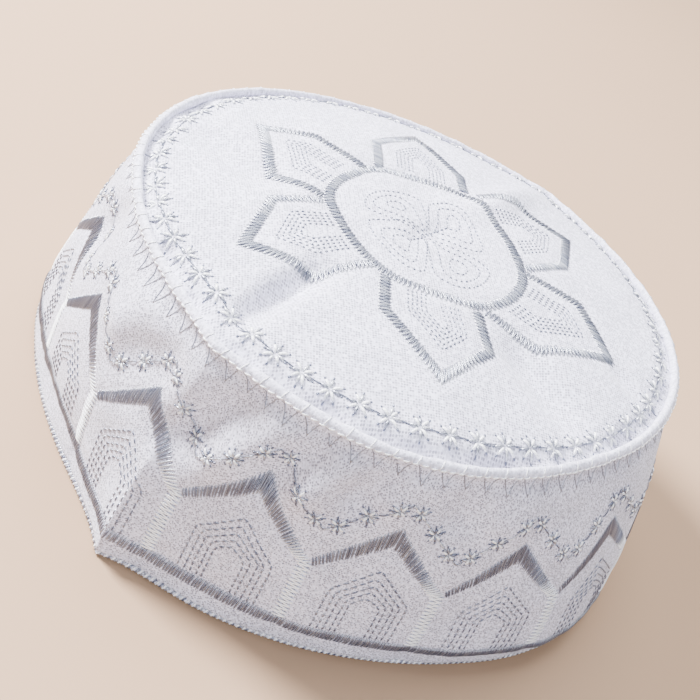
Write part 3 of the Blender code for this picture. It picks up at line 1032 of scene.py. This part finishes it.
class KUFI_OT_crown_cloth(bpy.types.Operator):
    """Makes the crown's cloth with its folds"""

    bl_idname = "kufi.crown_cloth"
    bl_label = "Crown cloth"

    def execute(self, context):
        shares = np.linspace(0, 1, CROWN_ROWS + 1)
        mesh = spun_mesh("crown_cloth", [(share, 1.0) for share in shares], closed=False)
        flat = read_points(mesh)
        turn = bunched(np.arctan2(flat[:, 0], -flat[:, 1]))
        edge = radius("seam", turn) - EDGE_TUCK
        x, y = on_plan(turn, np.hypot(flat[:, 0], flat[:, 1]) * edge)
        mesh.vertices.foreach_set("co", crown_chart(x, y).ravel())
        obj = piece("crown_cloth", mesh, "crown_cotton")
        cloth_wall(obj)
        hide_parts("crown_panel")
        return {"FINISHED"}


class KUFI_OT_band_cloth(bpy.types.Operator):
    """Makes the side band's cloth with its folds and puckers"""

    bl_idname = "kufi.band_cloth"
    bl_label = "Band cloth"

    def execute(self, context):
        lowest = BINDING_HEIGHT * 0.85 / SEAM_HEIGHT
        heights = np.linspace(lowest, 1 - EDGE_TUCK / SEAM_HEIGHT, BAND_ROWS + 1)
        mesh = spun_mesh("band_cloth", [(1.0, height) for height in heights], closed=False)
        flat = read_points(mesh)
        turn = bunched(np.arctan2(flat[:, 0], -flat[:, 1]))
        mesh.vertices.foreach_set("co", band_cloth_at(turn, flat[:, 2]).ravel())
        self.chart_cloth(mesh, turn, flat[:, 2])
        obj = piece("band_cloth", mesh, "band_cotton")
        cloth_wall(obj)
        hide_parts("side_band")
        return {"FINISHED"}

    def chart_cloth(self, mesh, turn, height):
        """Lays the weave's map out in metres, along the rim and up the band."""
        corners = np.empty(len(mesh.loops), int)
        mesh.loops.foreach_get("vertex_index", corners)
        turns = turn[corners].reshape(-1, 4)
        turns = turns[:, :1] + wrapped(turns - turns[:, :1])
        uv = np.stack([turns.ravel() * RIM_RADIUS, height[corners] * SEAM_HEIGHT], -1)
        mesh.uv_layers.new(name="cloth").data.foreach_set("uv", uv.ravel())


class KUFI_OT_crown_piping(bpy.types.Operator):
    """Makes the rolled seam around the crown"""

    bl_idname = "kufi.crown_piping"
    bl_label = "Crown piping"

    def execute(self, context):
        mesh, turn, girth = cord("crown_piping_roll")
        mesh.vertices.foreach_set("co", piping_places(turn, girth).ravel())
        obj = piece("crown_piping_roll", mesh, "rolled_cotton")
        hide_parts("crown_piping")
        return {"FINISHED"}


class KUFI_OT_hem_binding(bpy.types.Operator):
    """Makes the bound hem with its overcast stitches"""

    bl_idname = "kufi.hem_binding"
    bl_label = "Hem binding"

    def execute(self, context):
        self.core()
        self.overcast()
        return {"FINISHED"}

    def core(self):
        mesh, turn, girth = cord("hem_cord")
        places = binding_chart(turn * RIM_RADIUS, girth)
        floor = BINDING_HEIGHT / 2 * (1 - BINDING_ROUNDNESS * math.sin(FOOT_ANGLE))
        places[:, 2] = np.where(places[:, 2] <= floor, 0, places[:, 2])
        mesh.vertices.foreach_set("co", places.ravel())
        obj = piece("hem_cord", mesh, "crown_cotton")
        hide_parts("hem_binding")

    def overcast(self):
        """Grey and white stitches wound around the hem in turn, leaning along the rim."""
        sewing = Sewing(binding_chart, thread_form(6, 7), steps=(0.0003, 0.02))
        count = round(RIM_LENGTH / OVERCAST_PITCH)
        along = np.arange(count) * RIM_LENGTH / count + jitter(count, 31, 0.00014)
        starts = in_a_row(along, OVERCAST_GIRTH[0])
        ends = in_a_row(along + OVERCAST_LEAN, OVERCAST_GIRTH[1])
        tone = np.where(np.arange(count) % 2 == 0, 0.90, 0.15) + jitter(count, 32, 0.20)
        sewing.add(starts, ends, OVERCAST, tone)
        sewing.finish("hem_overcast", "grey_thread")


class KUFI_OT_medallion(bpy.types.Operator):
    """Sews the satin ring and the six petals of the crown"""

    bl_idname = "kufi.medallion"
    bl_label = "Medallion and petals"

    def execute(self, context):
        thread = context.scene.kufi_thread
        sewing = Sewing(crown_chart, thread_form(5, 5))
        pitch = CROWN_PITCH * thread.pitch
        turn = np.linspace(-math.pi, math.pi, round(2 * math.pi * MEDALLION_REACH * CROWN_RADIUS / pitch) + 1)
        reach = around(MEDALLION, "reach", turn) * CROWN_RADIUS
        near = np.stack(on_plan(turn, reach - SATIN_WIDTH / 2), -1)
        far = np.stack(on_plan(turn + SATIN_LEAN, reach + SATIN_WIDTH / 2), -1)
        self.satin(sewing, near, far, 41)
        for number, petal in enumerate(PETALS):
            line = petal_outline(petal)
            near, far = matched(shifted(line, -SATIN_WIDTH / 2), shifted(line, SATIN_WIDTH / 2), pitch)
            self.satin(sewing, near, far, 42 + number)
        sewing.finish("medallion_satin", "grey_thread")
        return {"FINISHED"}

    def satin(self, sewing, near, far, seed):
        starts, ends = zigzag(near, far)
        sewing.add(starts, ends, CROWN_SATIN, 0.17 + jitter(len(starts), seed, 0.14))


class KUFI_OT_crown_running(bpy.types.Operator):
    """Sews the running lines inside the petals and the medallion"""

    bl_idname = "kufi.crown_running"
    bl_label = "Crown running lines"

    def execute(self, context):
        thread = context.scene.kufi_thread
        sewing = Sewing(crown_chart, thread_form(5, 3))
        lines = [line for petal in PETALS for line in self.petal_lines(petal)]
        lines += [rounded(np.array(line) / 1000) for line in LOBE_LINES]
        for number, line in enumerate(lines):
            starts, ends = dashes(line, 0.95 * thread.stitch, 0.8 * thread.gap)
            sewing.add(starts, ends, CROWN_LINE, 0.05 + jitter(len(starts), 60 + number, 0.14))
        starts, ends = dashes(np.array(LOBE_STEM) / 1000, thread.stitch, 0.8 * thread.gap)
        sewing.add(starts, ends, STEM_LINE, 0.0)
        sewing.finish("crown_running", "grey_thread")
        return {"FINISHED"}

    def petal_lines(self, petal):
        """Lines that follow a petal's outline inside it and stop short of the satin ring."""
        outline = petal_outline(petal)
        hand = np.sign(np.cross(outline[1] - outline[0], outline[-1] - outline[0]))
        lines = []
        for inset in PETAL_LINE_INSETS:
            line = shifted(outline, -hand * inset)
            for end, following in ((0, 1), (-1, -2)):
                ring = around(MEDALLION, "reach", np.arctan2(line[end][0], -line[end][1])) * CROWN_RADIUS
                short = (ring + RING_CLEARANCE) / np.hypot(*line[end])
                line[end] += (line[following] - line[end]) * max(0.0, short - 1) * 2
            lines.append(line)
        return lines


def sew_star(sewing, middle, across, lay, seed, phase, dark):
    """Leaf-shaped legs from a shared middle, every other one painted white as a highlight and the rest
    painted darker as shade, with a grey stub at each tip painted as the needle hole's shade.
    """
    legs = np.arange(STAR_LEGS)
    angle = phase + legs * 2 * math.pi / STAR_LEGS + jitter(STAR_LEGS, seed, 0.16)
    length = across / 2 * (1 + jitter(STAR_LEGS, seed + 1, 0.12))[:, None]
    ahead = np.stack([np.cos(angle), np.sin(angle)], -1)
    # Painted highlight and shade: legs alternate white and darker, standing in for light catching some legs
    # and missing others
    tones = np.where(legs % 2, 1.0, dark) + jitter(STAR_LEGS, seed + 2, 0.20)
    holes = middle + ahead * length
    sewing.add(middle + ahead * 0.05 * across, holes, lay, tones)
    # Painted shade: a grey stub at each tip stands for the needle hole's shade
    sewing.add(holes - ahead * 0.00020, holes + ahead * 0.00038, STAR_HOLE_SHADE, 0.0)


class KUFI_OT_crown_stars(bpy.types.Operator):
    """Sews the ring of stars inside the crown's seam"""

    bl_idname = "kufi.crown_stars"
    bl_label = "Crown stars"

    def execute(self, context):
        pattern = context.scene.kufi_pattern
        sewing = Sewing(crown_chart, thread_form(5, 4))
        turns = FIRST_STAR_TURN + 2 * math.pi * np.arange(pattern.stars) / pattern.stars
        middles = np.stack(on_plan(turns, around(STAR_RING, "reach", turns) * CROWN_RADIUS), -1)
        for number, (turn, middle) in enumerate(zip(turns, middles)):
            sew_star(sewing, middle, pattern.crown_star, CROWN_LEG, 300 + 3 * number, turn, 0.30)
        gap = np.roll(middles, -1, axis=0) - middles
        sewing.add(middles + gap * 0.15, middles + gap * 0.70, CROWN_LINK, 0.0)
        sewing.finish("crown_stars", "grey_thread")
        return {"FINISHED"}


class KUFI_OT_seam_stitches(bpy.types.Operator):
    """Sews the row under the piping and the zigzag over it"""

    bl_idname = "kufi.seam_stitches"
    bl_label = "Seam stitches"

    def execute(self, context):
        sewing = Sewing(seam_chart, thread_form(5, 6))
        row = row_up(ROW_ANGLE)
        starts, ends = dashes([(0, row), (RIM_LENGTH, row)], ROW_STITCH, ROW_GAP)
        sewing.add(starts, ends + [0, ROW_RISE], SEAM_ROW, 1.0 - jitter(len(starts), 70, 0.3) ** 2)
        pitch = RIM_LENGTH / ZIGZAG_COUNT
        along = np.arange(ZIGZAG_COUNT) * pitch
        tip = in_a_row(along, SEAM_HEIGHT - ZIGZAG_BELOW_SEAM)
        straight = in_a_row(along + ZIGZAG_STRAIGHT * pitch, row)
        waist = in_a_row(along + ZIGZAG_WAIST * pitch, row)
        crest = in_a_row(along + ZIGZAG_CREST * pitch, row_up(ZIGZAG_TOP_ANGLE))
        sewing.add(tip, straight, ZIGZAG, 0.15)
        sewing.add(tip, waist, ZIGZAG, 0.25)
        # Painted highlight: the leg over the piping is white where the piping's ridge would catch the light
        sewing.add(waist, crest, ZIGZAG_OVER, 0.90)
        sewing.finish("seam_stitches", "white_thread")
        return {"FINISHED"}


class KUFI_OT_band_satin(bpy.types.Operator):
    """Sews the band's roofs, posts and border in satin"""

    bl_idname = "kufi.band_satin"
    bl_label = "Band satin"

    def execute(self, context):
        thread = context.scene.kufi_thread
        form = thread_form(5, 5)
        roofs, posts, border = (Sewing(band_chart, form) for _ in range(3))
        for number, turn in enumerate(house_turns()):
            middle = np.array([turn * RIM_RADIUS, 0.0])
            self.roof(roofs, thread, middle, 100 + number)
            self.post(posts, middle + [half_house(), 0], 130 + number)
        self.border(border, thread)
        roofs.finish("band_roofs", "grey_thread")
        posts.finish("band_posts", "white_thread")
        border.finish("band_border", "grey_thread")
        return {"FINISHED"}

    def roof(self, sewing, thread, middle, seed):
        """Threads side by side between the roof's two edges."""
        starts, ends = matched(roof_edge(ROOF_INNER), roof_edge(ROOF_OUTER), ROOF_PITCH * thread.pitch)
        ends = ends + [ROOF_LEAN, 0]
        across = (starts[:, 0] + ends[:, 0]) / 2 / half_house()
        # Grey thread, with a painted highlight whitening it towards the right slope's foot by the post
        tone = np.interp(across, *ROOF_TONE_AND_HIGHLIGHT) + jitter(len(starts), seed, 0.10)
        sewing.add(starts + middle, ends + middle, ROOF_SATIN, tone)

    def post(self, sewing, middle, seed):
        foot = border_height(middle[0]) + BORDER_TALL / 2
        heights = np.linspace(foot, POST_TOP, round((POST_TOP - foot) / POST_PITCH))
        near = np.stack([np.full_like(heights, -POST_WIDTH / 2), heights], -1)
        far = near + [POST_WIDTH, POST_RISE]
        starts, ends = zigzag(near, far)
        tone = 1.0 - jitter(len(starts), seed, 0.06) ** 2
        sewing.add(starts + middle, ends + middle, POST_SATIN, tone)

    def border(self, sewing, thread):
        count = round(RIM_LENGTH / (BORDER_PITCH * thread.pitch))
        along = np.arange(count) * RIM_LENGTH / count
        starts = np.stack([along, border_height(along) - BORDER_TALL / 2], -1)
        ends = starts + [BORDER_LEAN, BORDER_TALL]
        sewing.add(starts, ends, BORDER_SATIN, 0.06 + jitter(len(starts), 150, 0.08))


class KUFI_OT_band_running(bpy.types.Operator):
    """Sews the nested running lines of the houses"""

    bl_idname = "kufi.band_running"
    bl_label = "House lines"

    def execute(self, context):
        thread = context.scene.kufi_thread
        sewing = Sewing(band_chart, thread_form(5, 3))
        for number, turn in enumerate(house_turns()):
            middle = turn * RIM_RADIUS
            foot = float(border_height(middle)) + BORDER_TALL / 2
            for row, line in enumerate(HOUSE_LINES):
                left, right = HOUSE_ASIDE - line.half_width, HOUSE_ASIDE + line.half_width
                points = (
                    (left, foot), (left, line.left_eave), (HOUSE_ASIDE / 2, line.apex),
                    (right, line.right_eave), (right, foot),
                )
                starts, ends = dashes(points, 1.45 * thread.stitch, 0.5 * thread.gap)
                tone = 0.05 + jitter(len(starts), 400 + 5 * number + row, 0.10)
                sewing.add(starts + [middle, 0], ends + [middle, 0], HOUSE_LINE, tone)
        sewing.finish("band_running", "grey_thread")
        return {"FINISHED"}


class KUFI_OT_band_stars(bpy.types.Operator):
    """Sews the star line that runs up and down between the roofs and the seam"""

    bl_idname = "kufi.band_stars"
    bl_label = "Band stars"

    def execute(self, context):
        pattern = context.scene.kufi_pattern
        sewing = Sewing(band_chart, thread_form(5, 4))
        for number, turn in enumerate(house_turns()):
            middle = np.array([turn * RIM_RADIUS, 0.0])
            high = middle + [0, STAR_LINE_HIGH]
            for hand in (-1, 1):
                low = middle + [hand * half_house(), STAR_LINE_LOW]
                self.slope(sewing, low, high, pattern.band_star, 500 + 20 * number + 10 * hand)
        sewing.finish("band_stars", "grey_thread")
        return {"FINISHED"}

    def slope(self, sewing, low, high, across, seed):
        run = high - low
        marks = [0.0, *STARS_ON_SLOPE, 1.0]
        for order, share in enumerate(STARS_ON_SLOPE):
            sew_star(sewing, low + run * share, across, BAND_LEG, seed + 3 * order, 0.3, 0.15)
        for first, second in zip(marks, marks[1:]):
            starts, ends = dashes((low + run * first, low + run * second), LINK_STITCH, LINK_GAP)
            sewing.add(starts, ends, BAND_LINK, 0.3 + jitter(len(starts), seed, 0.3))


class KUFI_OT_stage(bpy.types.Operator):
    """Sets up the floor, the lights and the camera"""

    bl_idname = "kufi.stage"
    bl_label = "Stage"

    def execute(self, context):
        stage = context.scene.kufi_stage
        self.floor()
        world = bpy.data.worlds.new("surroundings")
        world.use_nodes = True
        background = world.node_tree.nodes["Background"].inputs
        background["Color"].default_value = SKY_COLOUR
        background["Strength"].default_value = stage.sky
        context.scene.world = world
        for name, lamp in LAMPS.items():
            self.light(name, lamp, getattr(stage, name))
        self.camera(context.scene, stage)
        return {"FINISHED"}

    def floor(self):
        bm = bmesh.new()
        bmesh.ops.create_grid(bm, x_segments=8, y_segments=8, size=6.0)
        mesh = bpy.data.meshes.new("floor")
        bm.to_mesh(mesh)
        bm.free()
        mesh.materials.append(floor_finish())
        floor = bpy.data.objects.new("floor", mesh)
        bpy.context.scene.collection.objects.link(floor)

    def light(self, name, lamp, power):
        light = bpy.data.lights.new(name, "AREA")
        light.shape = "DISK"
        light.size = lamp.size
        light.energy = power
        light.color = lamp.tint
        obj = bpy.data.objects.new(name, light)
        obj.location = lamp.place
        aim = Vector((0, 0, SEAM_HEIGHT / 2)) - obj.location
        obj.rotation_euler = aim.to_track_quat("-Z", "Y").to_euler()
        bpy.context.scene.collection.objects.link(obj)

    def camera(self, scene, stage):
        """The photo's view: turned around the cap, raised, rolled and slid a little off its middle."""
        back = Vector((
            math.sin(stage.azimuth) * math.cos(stage.elevation),
            -math.cos(stage.azimuth) * math.cos(stage.elevation),
            math.sin(stage.elevation),
        ))
        level = Vector((math.cos(stage.azimuth), math.sin(stage.azimuth), 0))
        above = back.cross(level)
        right = math.cos(stage.roll) * level + math.sin(stage.roll) * above
        up = back.cross(right)
        lens = bpy.data.cameras.new("camera")
        lens.lens = stage.lens
        lens.sensor_width = 36
        lens.clip_start = 0.01
        camera = bpy.data.objects.new("camera", lens)
        turn = Matrix((right, up, back)).transposed().to_4x4()
        slide = right * CAMERA_SLIDE[0] + up * CAMERA_SLIDE[1]
        place = Vector((0, 0, CAMERA_AIM)) + back * stage.distance - slide
        camera.matrix_world = Matrix.Translation(place) @ turn
        scene.collection.objects.link(camera)
        scene.camera = camera


OPERATORS = (
    KUFI_OT_materials,
    KUFI_OT_crown_cloth,
    KUFI_OT_band_cloth,
    KUFI_OT_crown_piping,
    KUFI_OT_hem_binding,
    KUFI_OT_medallion,
    KUFI_OT_crown_running,
    KUFI_OT_crown_stars,
    KUFI_OT_seam_stitches,
    KUFI_OT_band_satin,
    KUFI_OT_band_running,
    KUFI_OT_band_stars,
    KUFI_OT_stage,
)
SETTINGS = {
    "kufi_cloth": KufiCloth,
    "kufi_thread": KufiThread,
    "kufi_pattern": KufiPattern,
    "kufi_stage": KufiStage,
}


class KUFI_PT_panel(bpy.types.Panel):
    """Lists the kufi's settings and pieces."""

    bl_label = "Kufi"
    bl_idname = "KUFI_PT_panel"
    bl_space_type = "VIEW_3D"
    bl_region_type = "UI"
    bl_category = "Kufi"

    def draw(self, context):
        for attribute, group in SETTINGS.items():
            box = self.layout.box()
            box.label(text=group.__doc__.strip("."))
            for name in group.__annotations__:
                box.prop(getattr(context.scene, attribute), name)
        for operator in OPERATORS:
            self.layout.operator(operator.bl_idname)


def register():
    for group in SETTINGS.values():
        bpy.utils.register_class(group)
    for attribute, group in SETTINGS.items():
        setattr(bpy.types.Scene, attribute, PointerProperty(type=group))
    for operator in OPERATORS:
        bpy.utils.register_class(operator)
    bpy.utils.register_class(KUFI_PT_panel)


def unregister():
    bpy.utils.unregister_class(KUFI_PT_panel)
    for operator in reversed(OPERATORS):
        bpy.utils.unregister_class(operator)
    for attribute in SETTINGS:
        delattr(bpy.types.Scene, attribute)
    for group in reversed(SETTINGS.values()):
        bpy.utils.unregister_class(group)


def main():
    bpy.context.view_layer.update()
    register()
    for operator in OPERATORS:
        group, name = operator.bl_idname.split(".")
        getattr(getattr(bpy.ops, group), name)()


if __name__ == "__main__":
    main()
